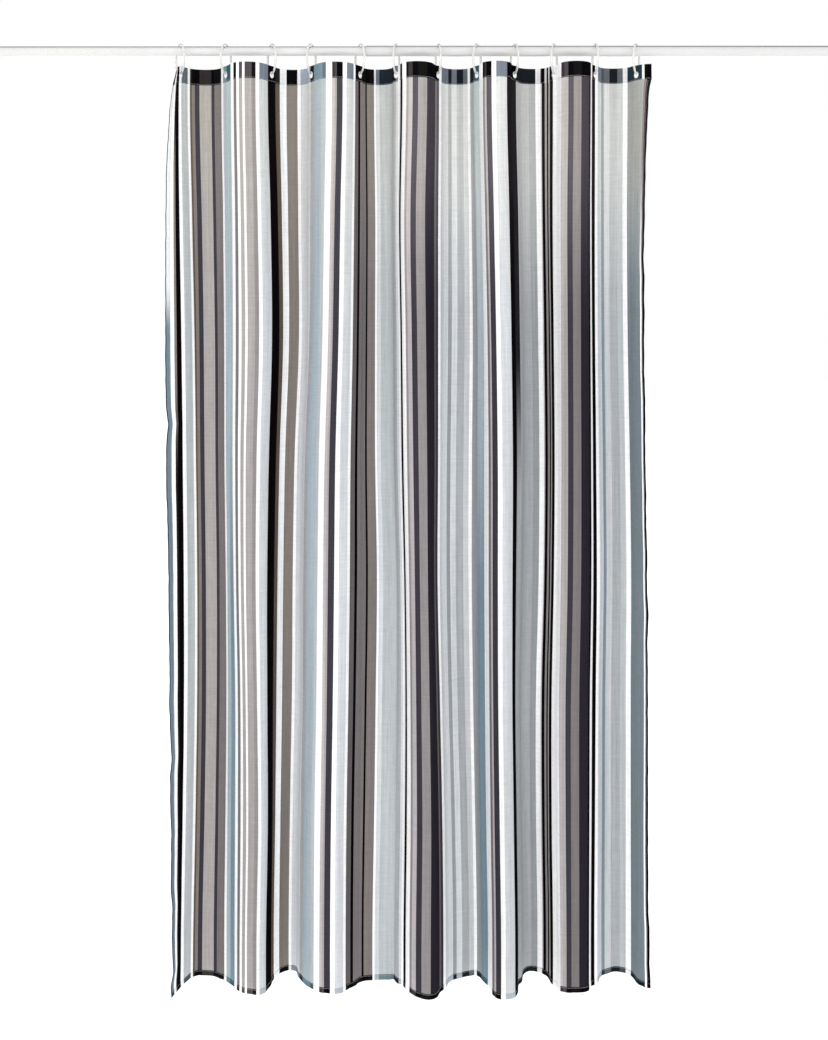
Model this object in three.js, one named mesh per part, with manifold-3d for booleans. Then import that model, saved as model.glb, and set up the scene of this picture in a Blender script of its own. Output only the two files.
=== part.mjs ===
// A fabric curtain hung by twelve snap rings on a straight telescopic rail.
// Units are millimetres, +Z is up, +X runs along the rail and -Y is the room side.
// The origin is on the rail's axis, at the middle of the curtain.
import * as THREE from 'three';
import { mergeVertices } from 'three/addons/utils/BufferGeometryUtils.js';
import Module from 'manifold-3d';

// ---------- driving dimensions ----------
const OUTER_RADIUS = 11.5;       // outer tube of the telescopic rail
const INNER_RADIUS = 10;         // inner tube, which slides in the outer one
const RAIL_WALL = 1.2;
const RAIL_LENGTH = 1880;        // both tubes together, foot to foot
const OUTER_MOUTH_X = -98;       // where the inner tube comes out
const INNER_END_X = 350;         // how far the inner tube reaches into the outer one
const FOOT_RADIUS = 16;          // end foot that stands against the wall
const FOOT_COLLAR = 22;          // how far the foot's collar reaches over the tube
const FOOT_BASE = 9.7;           // thickness between the tube's end and the wall
const GAP = 0.3;                 // clearance between pieces that touch

const RING_X = [-503.1, -403.5, -303.7, -217.3, -111.4, -32.0, 59.3, 143.9, 225.6, 312.0, 401.6, 491.2];
const RING_YAW = [29, -17, 25, -17.5, 24.5, -13.5, 11, -21.5, 14, -19, 6, -22.5]; // degrees, + turns the front towards +X
const RING_HALF_WIDTH = 26;      // ellipse of the wire's centre line
const RING_HALF_HEIGHT = 32;
const RING_WIRE = 2.3;           // wire radius
const RING_TOP = OUTER_RADIUS + 0.5 + RING_WIRE;
const RING_CENTRE_Z = RING_TOP - RING_HALF_HEIGHT;
const RING_SLIT = 0.9;           // the snap opening, closed to a slit

const EYELET_INNER = 5.1;
const EYELET_OUTER = 7.4;
const EYELET_THICK = 2.2;
const EYELET_Z = RING_CENTRE_Z - RING_HALF_HEIGHT - (EYELET_INNER - RING_WIRE - 0.7);

const CLOTH_WIDTH = 1800;        // cut width, laid flat
const CLOTH_DROP = 2000;         // finished length
const CLOTH_TOP = -35.5;
const EDGE_MARGIN = 40;          // from each side edge to the nearest eyelet
const PANEL_THICK = 0.8;
const HEM_THICK = 1.6;
const TOP_HEM = 32;
const BOTTOM_HEM = 12;
const SIDE_HEM = 10;
const TANGENT_OFFSET = 37;       // degrees between an eyelet's axis and the ring's wire
const EASE = 14;                 // how far the cloth stays flat on each side of an eyelet
const STEPS_PER_FOLD = 6;

// ---------- the cloth's cross-section ----------
const rad = (d) => (d * Math.PI) / 180;
const pitch = (CLOTH_WIDTH - 2 * EDGE_MARGIN) / (RING_X.length - 1);
// degrees between the cloth and the rail at each ring
const tangent = RING_YAW.map((yaw) => Math.min(64, Math.abs(yaw) + TANGENT_OFFSET));

function foldAngle(s, theta0, k) {
  return theta0 * Math.cos((Math.PI * s) / pitch)
    - (theta0 - rad(tangent[k])) * Math.exp(-((s / EASE) ** 2))
    + (theta0 - rad(tangent[k + 1])) * Math.exp(-(((pitch - s) / EASE) ** 2));
}
function foldPoints(theta0, k, n) {
  const sign = k % 2 === 0 ? 1 : -1;
  const pts = [[0, 0]];
  const m = 40;
  let x = 0, y = 0;
  for (let i = 0; i < n; i++) {
    for (let j = 0; j < m; j++) {
      const a = foldAngle(((i + (j + 0.5) / m) / n) * pitch, theta0, k);
      x += (Math.cos(a) * pitch) / (n * m);
      y += (sign * Math.sin(a) * pitch) / (n * m);
    }
    pts.push([x, y]);
  }
  return pts;
}
function solveFold(k) {
  const chord = RING_X[k + 1] - RING_X[k];
  let lo = 0.6, hi = 2.2;
  for (let i = 0; i < 50; i++) {
    const mid = (lo + hi) / 2;
    const p = foldPoints(mid, k, 12);
    if (p[p.length - 1][0] > chord) lo = mid; else hi = mid;
  }
  return (lo + hi) / 2;
}
function flapPoints(x0, side, a0, a1, n) {
  // side -1 leaves ring 1 to the left, +1 leaves the last ring to the right; both come forward
  const pts = [];
  const m = 20;
  let x = x0, y = 0;
  for (let i = 0; i < n; i++) {
    for (let j = 0; j < m; j++) {
      const t = (i + (j + 0.5) / m) / n;
      const a = rad(a0 + (a1 - a0) * t);
      x += (side * Math.cos(a) * EDGE_MARGIN) / (n * m);
      y -= (Math.sin(a) * EDGE_MARGIN) / (n * m);
    }
    pts.push([x, y, EDGE_MARGIN * ((i + 1) / n)]);
  }
  return pts;
}

// each entry is [x, y, distance along the cloth from its left edge]
const section = [];
for (const p of flapPoints(RING_X[0], -1, tangent[0], 45, 4).reverse()) {
  section.push([p[0], p[1], EDGE_MARGIN - p[2]]);
}
section.push([RING_X[0], 0, EDGE_MARGIN]);
for (let k = 0; k < RING_X.length - 1; k++) {
  const pts = foldPoints(solveFold(k), k, STEPS_PER_FOLD);
  for (let i = 1; i < pts.length; i++) {
    section.push([RING_X[k] + pts[i][0], pts[i][1], EDGE_MARGIN + pitch * (k + i / STEPS_PER_FOLD)]);
  }
  // the two halves of a fold differ a little, so its depth is sheared back onto the rail's line
  const last = section.length - 1;
  const drift = section[last][1];
  for (let i = 1; i <= STEPS_PER_FOLD; i++) section[last - STEPS_PER_FOLD + i][1] -= (drift * i) / STEPS_PER_FOLD;
  section[last][0] = RING_X[k + 1];
}
for (const p of flapPoints(RING_X[RING_X.length - 1], 1, tangent[RING_X.length - 1], 0, 4)) {
  section.push([p[0], p[1], CLOTH_WIDTH - EDGE_MARGIN + p[2]]);
}

function clipSection(u0, u1) {
  const at = (u) => {
    for (let i = 1; i < section.length; i++) {
      const a = section[i - 1], b = section[i];
      if (u <= b[2] + 1e-9) {
        const t = (u - a[2]) / (b[2] - a[2]);
        return [a[0] + (b[0] - a[0]) * t, a[1] + (b[1] - a[1]) * t, u];
      }
    }
    return section[section.length - 1];
  };
  const out = [at(u0)];
  for (const p of section) if (p[2] > u0 + 0.5 && p[2] < u1 - 0.5) out.push(p);
  out.push(at(u1));
  return out;
}

function ribbon(u0, u1, thick, z0, z1) {
  const line = clipSection(u0, u1);
  const left = [], right = [];
  for (let i = 0; i < line.length; i++) {
    const a = line[Math.max(0, i - 1)], b = line[i], c = line[Math.min(line.length - 1, i + 1)];
    const d1 = new THREE.Vector2(b[0] - a[0], b[1] - a[1]);
    const d2 = new THREE.Vector2(c[0] - b[0], c[1] - b[1]);
    if (d1.length() < 1e-9) d1.copy(d2);
    if (d2.length() < 1e-9) d2.copy(d1);
    d1.normalize(); d2.normalize();
    const t = d1.clone().add(d2).normalize();
    const half = thick / 2 / Math.max(0.5, t.dot(d1));
    left.push(new THREE.Vector2(b[0] - t.y * half, b[1] + t.x * half));
    right.push(new THREE.Vector2(b[0] + t.y * half, b[1] - t.x * half));
  }
  const shape = new THREE.Shape(right.concat(left.reverse()));
  const geometry = new THREE.ExtrudeGeometry(shape, { depth: z1 - z0, bevelEnabled: false, curveSegments: 1 });
  geometry.translate(0, 0, z0);
  return geometry;
}

// ---------- boolean helper ----------
const wasm = await Module();
wasm.setup();

function toManifold(geometry) {
  let g = geometry.index ? geometry.toNonIndexed() : geometry.clone();
  g.deleteAttribute('normal');
  g.deleteAttribute('uv');
  g = mergeVertices(g, 1e-4);
  return new wasm.Manifold(new wasm.Mesh({
    numProp: 3,
    vertProperties: new Float32Array(g.attributes.position.array),
    triVerts: new Uint32Array(g.index.array),
  }));
}
function toGeometry(solid) {
  const mesh = solid.getMesh();
  const g = new THREE.BufferGeometry();
  g.setAttribute('position', new THREE.BufferAttribute(new Float32Array(mesh.vertProperties), 3));
  g.setIndex(new THREE.BufferAttribute(new Uint32Array(mesh.triVerts), 1));
  g.computeVertexNormals();
  return g;
}

// ---------- materials ----------
const paint = new THREE.MeshStandardMaterial({ color: 0xe9ebea, roughness: 0.35, metalness: 0.1 });
const foot = new THREE.MeshStandardMaterial({ color: 0xd9dbdb, roughness: 0.7, metalness: 0 });
const ringPlastic = new THREE.MeshStandardMaterial({ color: 0xf0f0ea, roughness: 0.3, metalness: 0 });
const eyeletPlastic = new THREE.MeshStandardMaterial({ color: 0xf2f2ee, roughness: 0.4, metalness: 0 });
const cloth = new THREE.MeshStandardMaterial({ color: 0xa9adad, roughness: 0.9, metalness: 0 });
const hemCloth = new THREE.MeshStandardMaterial({ color: 0x55585a, roughness: 0.9, metalness: 0 });

const root = new THREE.Group();
function add(name, geometry, material, parent = root) {
  const mesh = new THREE.Mesh(geometry, material);
  mesh.name = name;
  parent.add(mesh);
  return mesh;
}

// ---------- rail and its end feet ----------
// profiles turn about local Y, which a quarter turn lays along the rail
function tube(radius, x0, x1) {
  return new THREE.LatheGeometry([
    new THREE.Vector2(radius, x0),
    new THREE.Vector2(radius, x1),
    new THREE.Vector2(radius - RAIL_WALL, x1),
    new THREE.Vector2(radius - RAIL_WALL, x0),
    new THREE.Vector2(radius, x0),
  ], 24);
}
const outer = add('rail_outer_tube', tube(OUTER_RADIUS, OUTER_MOUTH_X, RAIL_LENGTH / 2), paint);
outer.rotation.z = -Math.PI / 2;
const inner = add('rail_inner_tube', tube(INNER_RADIUS, -RAIL_LENGTH / 2, INNER_END_X), paint);
inner.rotation.z = -Math.PI / 2;

for (const [name, side, radius] of [['rail_foot_left', -1, INNER_RADIUS], ['rail_foot_right', 1, OUTER_RADIUS]]) {
  const profile = [
    new THREE.Vector2(0, GAP),
    new THREE.Vector2(radius + GAP, GAP),
    new THREE.Vector2(radius + GAP, -FOOT_COLLAR),
    new THREE.Vector2(radius + 2.2, -FOOT_COLLAR),
    new THREE.Vector2(radius + 3.2, -6),
    new THREE.Vector2(FOOT_RADIUS, -1),
    new THREE.Vector2(FOOT_RADIUS, FOOT_BASE + GAP),
    new THREE.Vector2(0, FOOT_BASE + GAP),
  ];
  const g = new THREE.Group();
  g.position.x = (side * RAIL_LENGTH) / 2;
  g.rotation.z = side > 0 ? -Math.PI / 2 : Math.PI / 2;
  add(name, new THREE.LatheGeometry(profile, 24), foot, g);
  root.add(g);
}

// ---------- rings ----------
class RingPath extends THREE.Curve {
  getPoint(t, target = new THREE.Vector3()) {
    const slit = RING_SLIT / 2 / RING_HALF_WIDTH;
    const a = rad(215) + slit + t * (2 * Math.PI - 2 * slit);
    return target.set(0, RING_HALF_WIDTH * -Math.cos(a), RING_HALF_HEIGHT * Math.sin(a));
  }
}
const wireSection = new THREE.Shape();
const WIRE_SIDES = 6;
for (let i = 0; i < WIRE_SIDES; i++) {
  const a = ((i + 0.5) * 2 * Math.PI) / WIRE_SIDES;
  const p = [RING_WIRE * Math.cos(a), RING_WIRE * Math.sin(a)];
  if (i === 0) wireSection.moveTo(...p); else wireSection.lineTo(...p);
}
wireSection.closePath();

for (let k = 0; k < RING_X.length; k++) {
  const g = new THREE.Group();
  g.position.set(RING_X[k], 0, RING_CENTRE_Z);
  g.rotation.z = rad(RING_YAW[k]);
  const geometry = new THREE.ExtrudeGeometry(wireSection, { steps: 22, bevelEnabled: false, extrudePath: new RingPath() });
  add(`ring_${k + 1}`, geometry, ringPlastic, g);
  root.add(g);
}

// ---------- eyelets ----------
const eyeletProfile = [
  new THREE.Vector2(EYELET_INNER, -EYELET_THICK / 2),
  new THREE.Vector2(EYELET_OUTER, -EYELET_THICK / 2),
  new THREE.Vector2(EYELET_OUTER, EYELET_THICK / 2),
  new THREE.Vector2(EYELET_INNER, EYELET_THICK / 2),
  new THREE.Vector2(EYELET_INNER, -EYELET_THICK / 2),
];
const holes = [];
for (let k = 0; k < RING_X.length; k++) {
  const g = new THREE.Group();
  g.position.set(RING_X[k], 0, EYELET_Z);
  // local Y of the turned eyelet lies along the cloth's normal
  g.rotation.z = rad(k % 2 === 0 ? tangent[k] : -tangent[k]);
  add(`eyelet_${k + 1}`, new THREE.LatheGeometry(eyeletProfile, 14), eyeletPlastic, g);
  root.add(g);
  const hole = new THREE.CylinderGeometry(EYELET_OUTER + GAP, EYELET_OUTER + GAP, 12, 14);
  g.updateMatrix();
  hole.applyMatrix4(g.matrix);
  holes.push(hole);
}

// ---------- cloth ----------
const top = CLOTH_TOP;
const bottom = CLOTH_TOP - CLOTH_DROP;
let topHem = toManifold(ribbon(0, CLOTH_WIDTH, HEM_THICK, top - TOP_HEM, top));
for (const hole of holes) topHem = topHem.subtract(toManifold(hole));
add('top_hem', toGeometry(topHem), hemCloth);
add('curtain_panel', ribbon(SIDE_HEM + GAP, CLOTH_WIDTH - SIDE_HEM - GAP, PANEL_THICK, bottom + BOTTOM_HEM + GAP, top - TOP_HEM - GAP), cloth);
add('side_hem_left', ribbon(0, SIDE_HEM, HEM_THICK, bottom + BOTTOM_HEM + GAP, top - TOP_HEM - GAP), hemCloth);
add('side_hem_right', ribbon(CLOTH_WIDTH - SIDE_HEM, CLOTH_WIDTH, HEM_THICK, bottom + BOTTOM_HEM + GAP, top - TOP_HEM - GAP), hemCloth);
add('bottom_hem', ribbon(0, CLOTH_WIDTH, HEM_THICK, bottom, bottom + BOTTOM_HEM), hemCloth);

export default root;
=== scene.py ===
import math

import bpy
import numpy as np
from mathutils import Matrix, Vector


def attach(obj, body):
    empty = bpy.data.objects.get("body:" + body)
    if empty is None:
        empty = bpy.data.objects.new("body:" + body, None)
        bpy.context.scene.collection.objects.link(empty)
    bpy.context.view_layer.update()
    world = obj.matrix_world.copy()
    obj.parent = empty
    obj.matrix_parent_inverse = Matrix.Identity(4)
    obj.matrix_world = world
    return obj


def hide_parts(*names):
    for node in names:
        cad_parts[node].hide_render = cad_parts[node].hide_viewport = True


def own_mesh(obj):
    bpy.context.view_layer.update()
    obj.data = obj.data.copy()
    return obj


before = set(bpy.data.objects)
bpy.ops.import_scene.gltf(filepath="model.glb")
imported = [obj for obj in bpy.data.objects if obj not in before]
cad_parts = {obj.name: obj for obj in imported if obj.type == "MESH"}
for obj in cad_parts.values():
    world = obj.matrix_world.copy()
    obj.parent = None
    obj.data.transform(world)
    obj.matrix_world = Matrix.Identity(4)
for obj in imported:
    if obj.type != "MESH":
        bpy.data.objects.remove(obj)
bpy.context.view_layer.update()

MM = 0.001
rng = np.random.default_rng(11)

# ------------------------------------------------------------------ camera
# level, in front of the curtain, a little above the middle of its drop
scene = bpy.context.scene
cam_data = bpy.data.cameras.new("camera")
cam_data.sensor_width = 36.0
cam_data.lens = 47.64
cam_data.shift_y = -0.1967
cam_data.clip_start = 0.01
cam_data.clip_end = 60.0
camera = bpy.data.objects.new("camera", cam_data)
camera.location = (0.0065, -3.0, -0.576)
camera.rotation_euler = (math.radians(90), 0.0, 0.0)
scene.collection.objects.link(camera)
scene.camera = camera

# ------------------------------------------------------------------ cloth data, in millimetres
RING_X = [-503.1, -403.5, -303.7, -217.3, -111.4, -32.0, 59.3, 143.9, 225.6, 312.0, 401.6, 491.2]
RING_YAW = [29, -17, 25, -17.5, 24.5, -13.5, 11, -21.5, 14, -19, 6, -22.5]
WIDTH, DROP, TOP_Z = 1800.0, 2000.0, -35.5
MARGIN, EASE = 40.0, 14.0
TOP_HEM, BOTTOM_HEM, SIDE_HEM = 32.0, 12.0, 10.0
PITCH = (WIDTH - 2 * MARGIN) / 11
TANGENT = np.radians([min(64, abs(y) + 37) for y in RING_YAW])

EYELET_INNER, EYELET_OUTER, EYELET_THICK = 5.1, 7.4, 2.2
RING_HALF_WIDTH, RING_HALF_HEIGHT, RING_WIRE = 26.0, 32.0, 2.3
RING_CENTRE_Z = -17.7
EYELET_Z = -51.8


def fold_angle(s, t0, k):
    return (
        t0 * np.cos(np.pi * s / PITCH)
        - (t0 - TANGENT[k]) * np.exp(-((s / EASE) ** 2))
        + (t0 - TANGENT[k + 1]) * np.exp(-(((PITCH - s) / EASE) ** 2))
    )


def cross_section(n=240):
    """The line that the cloth follows just under the rings, as distance along the cloth, x and y."""
    us, xs, ys = [], [], []
    q = n // 4
    t = (np.arange(q) + 0.5) / q
    a = TANGENT[0] + (np.radians(45) - TANGENT[0]) * t
    us += list((MARGIN - MARGIN * (np.arange(q) + 1) / q)[::-1])
    xs += list((RING_X[0] - np.cumsum(np.cos(a)) * MARGIN / q)[::-1])
    ys += list((-np.cumsum(np.sin(a)) * MARGIN / q)[::-1])
    us.append(MARGIN)
    xs.append(RING_X[0])
    ys.append(0.0)
    for k in range(11):
        chord = RING_X[k + 1] - RING_X[k]
        lo, hi = 0.6, 2.2
        s = (np.arange(n) + 0.5) / n * PITCH
        for _ in range(40):
            m = (lo + hi) / 2
            if np.cos(fold_angle(s, m, k)).sum() * PITCH / n > chord:
                lo = m
            else:
                hi = m
        a = fold_angle(s, m, k)
        sign = 1 if k % 2 == 0 else -1
        share = (np.arange(n) + 1) / n
        x = RING_X[k] + np.cumsum(np.cos(a)) * PITCH / n
        y = sign * np.cumsum(np.sin(a)) * PITCH / n
        y = y - y[-1] * share
        x = x - (x[-1] - RING_X[k + 1]) * share
        us += list(MARGIN + PITCH * (k + share))
        xs += list(x)
        ys += list(y)
    a = TANGENT[11] * (1 - t)
    us += list(WIDTH - MARGIN + MARGIN * (np.arange(q) + 1) / q)
    xs += list(RING_X[11] + np.cumsum(np.cos(a)) * MARGIN / q)
    ys += list(-np.cumsum(np.sin(a)) * MARGIN / q)
    return np.array(us), np.array(xs), np.array(ys)


SEC_U, SEC_X, SEC_Y = cross_section()

# how far each part of the cloth hangs to one side of where its top is: 25 places across, 8 heights down
DRIFT_V = np.array([-40.0, 71.5, 332, 594, 856, 1117, 1379, 1640, 1902, 2010])
DRIFT = np.array([
    [0] * 25,
    [0] * 25,
    [0, 5, 4, 3, 5, 6, 1, -2, -5, 0, 3, -2, -5, -2, 1, 5, 5, 5, 4, 0, -2, -1, 0, -2, -8],
    [3, 10, 7, 4, 8, 9, 2, -5, -9, -2, 3, 1, -2, -2, 1, 9, 10, 9, 8, 3, -1, 0, 1, 0, -7],
    [7, 13, 8, 3, 2, 2, -8, -14, -16, -5, 4, 3, 1, -2, -2, 9, 13, 12, 11, 5, 0, 2, 4, 5, -4],
    [8, 16, 11, 5, 0, -2, -12, -18, -19, -5, 9, 9, 4, -3, -3, 9, 13, 10, 9, 3, -1, 3, 6, 8, 0],
    [8, 16, 12, 8, 3, -4, -14, -20, -22, -8, 7, 11, 7, 2, 1, 11, 14, 8, 3, -2, -5, 0, 3, 7, 1],
    [6, 12, 10, 7, 5, -5, -19, -25, -26, -12, 4, 9, 9, 7, 7, 14, 17, 11, 4, -2, -4, -1, 2, 7, -1],
    [4, 7, 7, 6, 1, -8, -22, -27, -28, -14, 0, 6, 7, 9, 11, 18, 20, 14, 7, 1, -2, -2, 1, 8, 2],
    [3, 6, 7, 6, 1, -8, -22, -27, -28, -14, 0, 6, 7, 9, 11, 18, 20, 14, 7, 1, -2, -2, 1, 8, 2],
], float)
DRIFT_U = np.arange(25) * 75.0

# fold crests: how far they have moved along the cloth at the bottom edge, and their depth there against the top
CREST_U = np.array([0.0] + [MARGIN + PITCH * (k + 0.5) for k in range(11)] + [1800.0])
CREST_SHIFT = np.array([0, 3.5, 17.0, 17.0, 33.0, 4.0, 22.0, 25.0, -5.8, -2.8, -4.7, 2.4, 0])
CREST_DEPTH = np.array([1.85, 0.79, 0.80, 1.16, 0.87, 0.42, 1.18, 0.74, 1.13, 1.08, 0.64, 1.08, 0.75])

# the two free edges: distance down the cloth, x
LEFT_EDGE = np.array([
    [0, -506.6], [25, -512.7], [60, -517.4], [100, -521.2], [160, -524.4], [215, -527.7], [330, -529.1],
    [440, -529.1], [550, -528.8], [660, -528.4], [740, -526.9], [775, -521.6], [810, -525.8], [900, -526.0],
    [990, -522.7], [1090, -520.4], [1180, -519.7], [1320, -516.9], [1360, -517.9], [1420, -516.2],
    [1490, -512.3], [1525, -515.2], [1580, -515.1], [1650, -512.5], [1770, -513.4], [1812, -509.8],
    [1870, -511.2], [1945, -508.2], [1975, -513.3], [2010, -511.6],
])
RIGHT_EDGE = np.array([
    [0, 521], [32, 521.5], [50, 517], [75, 514.5], [140, 511.5], [190, 509], [300, 506.5], [345, 506],
    [420, 503.5], [455, 506], [490, 505], [535, 506], [600, 505], [670, 505.5], [725, 508], [790, 508],
    [850, 508], [930, 510], [995, 510], [1055, 512.5], [1100, 512], [1140, 512], [1190, 515.5], [1240, 513],
    [1320, 514], [1500, 514.5], [1700, 514.5], [1790, 515], [1830, 514.5], [1870, 517.5], [1950, 517.5],
    [2000, 520], [2010, 520],
])


def smooth(t):
    t = np.clip(t, 0, 1)
    return t * t * (3 - 2 * t)


def cubic(x, xs, ys):
    """A smooth curve through points: x is any array, ys has one row for each of xs."""
    xs = np.asarray(xs, float)
    ys = np.asarray(ys, float)
    slope = np.gradient(ys, xs, axis=0)
    i = np.clip(np.searchsorted(xs, x, side="right") - 1, 0, len(xs) - 2)
    h = xs[i + 1] - xs[i]
    t = np.clip((x - xs[i]) / h, 0, 1)
    if ys.ndim > 1:
        h = h[..., None]
        t = t[..., None]
    h00 = 2 * t**3 - 3 * t**2 + 1
    h10 = t**3 - 2 * t**2 + t
    h01 = -2 * t**3 + 3 * t**2
    h11 = t**3 - t**2
    return h00 * ys[i] + h10 * h * slope[i] + h01 * ys[i + 1] + h11 * h * slope[i + 1]


def along(u, v, amounts):
    """amounts at DRIFT_U by DRIFT_V, read smoothly at u, v, which have the same shape."""
    rows = cubic(v, DRIFT_V, amounts)
    slope = np.gradient(rows, DRIFT_U, axis=-1)
    i = np.clip((u / 75.0).astype(int), 0, 23)
    t = np.clip(u / 75.0 - i, 0, 1)
    take = lambda a, j: np.take_along_axis(a, j[..., None], -1)[..., 0]
    return (
        (2 * t**3 - 3 * t**2 + 1) * take(rows, i)
        + (t**3 - 2 * t**2 + t) * 75 * take(slope, i)
        + (-2 * t**3 + 3 * t**2) * take(rows, i + 1)
        + (t**3 - t**2) * 75 * take(slope, i + 1)
    )


# small soft folds: waves (across mm, down mm, depth mm, phase)
WAVES = [
    (61, 900, 0.9, 0.3), (83, -1300, 1.1, 1.9), (47, 700, 0.55, 4.0), (118, 1900, 1.2, 2.2),
    (37, -1100, 0.35, 5.1), (71, 2300, 0.8, 0.9),
]
PUCKERS = [(31, 0.45, 0.2), (23, 0.30, 1.1), (47, 0.55, 2.9), (17, 0.14, 4.4)]


def surface(u, v):
    """The middle of the cloth at u across from its left edge and v down from its top edge, in millimetres."""
    u = np.asarray(u, float)
    v = np.asarray(v, float)
    u, v = np.broadcast_arrays(u, v)
    down = smooth((v - 60) / 1880)
    shift = cubic(u, CREST_U, CREST_SHIFT) * down
    depth = 1 + (cubic(u, CREST_U, CREST_DEPTH) - 1) * down
    x = np.interp(u, SEC_U, SEC_X) + along(u, v, DRIFT)
    y = np.interp(u - shift, SEC_U, SEC_Y) * depth
    z = TOP_Z - v
    # the edges
    left = np.clip((MARGIN - u) / MARGIN, 0, 1)
    right = np.clip((u - WIDTH + MARGIN) / MARGIN, 0, 1)
    edge_l = np.interp(v, LEFT_EDGE[:, 0], LEFT_EDGE[:, 1])
    edge_r = np.interp(v, RIGHT_EDGE[:, 0], RIGHT_EDGE[:, 1])
    x = x + left**1.4 * (edge_l - SEC_X[0] - along(u * 0, v, DRIFT))
    x = x + right**1.4 * (edge_r - SEC_X[-1] - along(u * 0 + WIDTH, v, DRIFT))
    # the free corner beside the first ring droops
    z = z - 19 * left**1.5 * np.exp(-v / 90)
    # the top edge stands a little proud between the rings, and the hem narrows slightly towards the right
    back = np.clip(y / 59, 0, 1)
    across = u / WIDTH
    z = z + (3.0 + 1.5 * across + back * (1.3 + 2.2 * across)) * (1 - smooth(v / 8))
    z = z + (5.0 * across - 0.8 + back * 2.2) * smooth((v - 21) / 11) * (1 - smooth((v - 36) / 60))
    # small folds, which fade out at the rings
    fade = smooth((v - 40) / 260) * (0.55 + 0.45 * np.cos(2 * np.pi * (u - MARGIN) / PITCH + np.pi) ** 2)
    w = 0 * u
    for across, downward, size, phase in WAVES:
        w = w + size * np.sin(2 * np.pi * (u / across + v / downward) + phase + 0.8 * np.sin(v / 310 + phase))
    y = y + w * fade
    # the seams draw the cloth up a little
    bottom = np.exp(-(((DROP - v) / 22) ** 2))
    top = np.exp(-(((v - 34) / 9) ** 2))
    edge = np.exp(-((u / 12) ** 2)) + np.exp(-(((WIDTH - u) / 12) ** 2))
    p = q = 0 * u
    for length, size, phase in PUCKERS:
        p = p + size * np.sin(2 * np.pi * u / length + phase)
        q = q + size * np.sin(2 * np.pi * v / (length * 1.6) + phase)
    y = y + p * (1.0 * bottom + 0.35 * top) + q * 2.2 * edge * smooth((v - 20) / 60)
    return np.stack([x, y, z], -1)


def surface_and_normal(u, v):
    """Points and unit normals that face the room."""
    p = surface(u, v)
    e = 0.6
    du = surface(np.clip(u + e, 0, WIDTH), v) - surface(np.clip(u - e, 0, WIDTH), v)
    dv = surface(u, np.clip(v + e, 0, DROP)) - surface(u, np.clip(v - e, 0, DROP))
    n = np.cross(dv, du)
    n = n / np.linalg.norm(n, axis=-1, keepdims=True)
    return p, n


# ------------------------------------------------------------------ stripes, left to right: tone and width
STRIPES = (
    "K2 Q8 W8 q5 K11 W10 L26 W8 B6 b8 N11 U27 N8 d28 W16 E19 F28 W13 d9 W7 T8 W5 T15 t9 W9 P32 K36 B24 W19 b25 W8 "
    "R58 m16 E37 L9 W14 h6 T4 N13 W10 P21 W8 D15 K8 d41 K6 b10 d10 W4 P8 l43 m32 P8 W14 K16 W15 t6 h10 N12 "
    "t21 k44 D6 N8 W10 P43 M9 P12 m15 G12 W9 M25 F29 W30 d8 h5 N13 W10 P26 K34 x26 m64 M15 W12 h3 K9 u8 K8 V10 K17 "
    "W42 h11 T10 N12 d17 k24 K8 W20 K16 W10 P35 S11 G15 m18 L13 W14 s58 z6 y6 K11"
)
TONES = {
    "W": (254, 254, 255), "K": (9, 6, 9), "k": (41, 37, 45), "N": (62, 59, 67), "D": (102, 96, 98), "d": (124, 118, 119),
    "B": (98, 87, 78), "b": (130, 123, 118), "t": (151, 146, 147), "T": (173, 168, 166), "S": (134, 147, 156),
    "s": (117, 128, 133), "E": (172, 186, 194), "F": (147, 166, 175), "L": (187, 192, 195), "G": (203, 205, 207),
    "P": (213, 216, 220), "M": (154, 158, 161), "m": (172, 175, 178),
    "U": (173, 168, 166), "V": (173, 168, 166), "u": (151, 146, 147), "R": (213, 216, 220),
    "l": (187, 192, 195), "x": (172, 175, 178), "z": (117, 128, 133), "y": (254, 254, 254),
    "Q": (112, 132, 143), "q": (132, 124, 116), "h": (190, 182, 186),
}
# powers that darken each tone in the hems: painted shade, where the cloth lies double and less light comes through it
# from behind; the lower hem has its own powers
HEM_SHADE_POWER = {
    "W": (1.3, 1.25, 1.2), "K": (1.0, 1.0, 1.0), "k": (1.62, 1.58, 1.66), "N": (1.92, 1.89, 1.94), "P": (4.2, 4.15, 4.1),
    "G": (3.9, 3.85, 3.8), "L": (2.9, 2.85, 2.85), "M": (3.8, 3.75, 3.7), "m": (4.9, 4.85, 4.8), "h": (4.6, 4.4, 4.5),
    "E": (1.9, 1.85, 1.85), "F": (2.6, 2.3, 2.4), "S": (1.7, 1.8, 1.9), "s": (2.2, 2.1, 2.0), "Q": (1.9, 1.8, 1.7),
    "T": (2.95, 2.89, 2.72), "t": (4.12, 3.92, 3.92), "b": (3.62, 3.46, 3.23), "d": (3.1, 2.95, 2.89),
    "D": (2.78, 2.66, 2.66), "B": (1.83, 1.67, 1.53), "q": (2.5, 2.5, 2.5),
    "U": (3.8, 3.75, 3.6), "V": (0.25, 0.25, 0.25), "u": (0.2, 0.2, 0.2), "R": (2.2, 2.1, 1.9),
    "l": (5.6, 5.5, 5.3), "x": (9, 9, 9), "z": (0.08, 0.08, 0.08), "y": (600, 600, 600),
}
LOW_HEM_SHADE_POWER = dict(
    HEM_SHADE_POWER, P=(2.1, 2.0, 1.9), s=(3.0, 2.8, 2.8), S=(2.8, 2.7, 2.7), E=(2.2, 2.1, 2.1), L=(4.0, 3.8, 3.8), l=(2.6, 2.3, 2.3),
    U=(3.6, 3.5, 3.4), R=(3.2, 3.1, 3.1), z=(3.0, 2.8, 2.8), y=(1.3, 1.25, 1.2), V=(2.9, 2.9, 2.8), u=(3.9, 3.8, 3.8),
    x=(4.9, 4.85, 4.8),
)


def linear(rgb):
    c = np.asarray(rgb, float) / 255
    return np.where(c <= 0.04045, c / 12.92, ((c + 0.055) / 1.055) ** 2.4)


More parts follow.
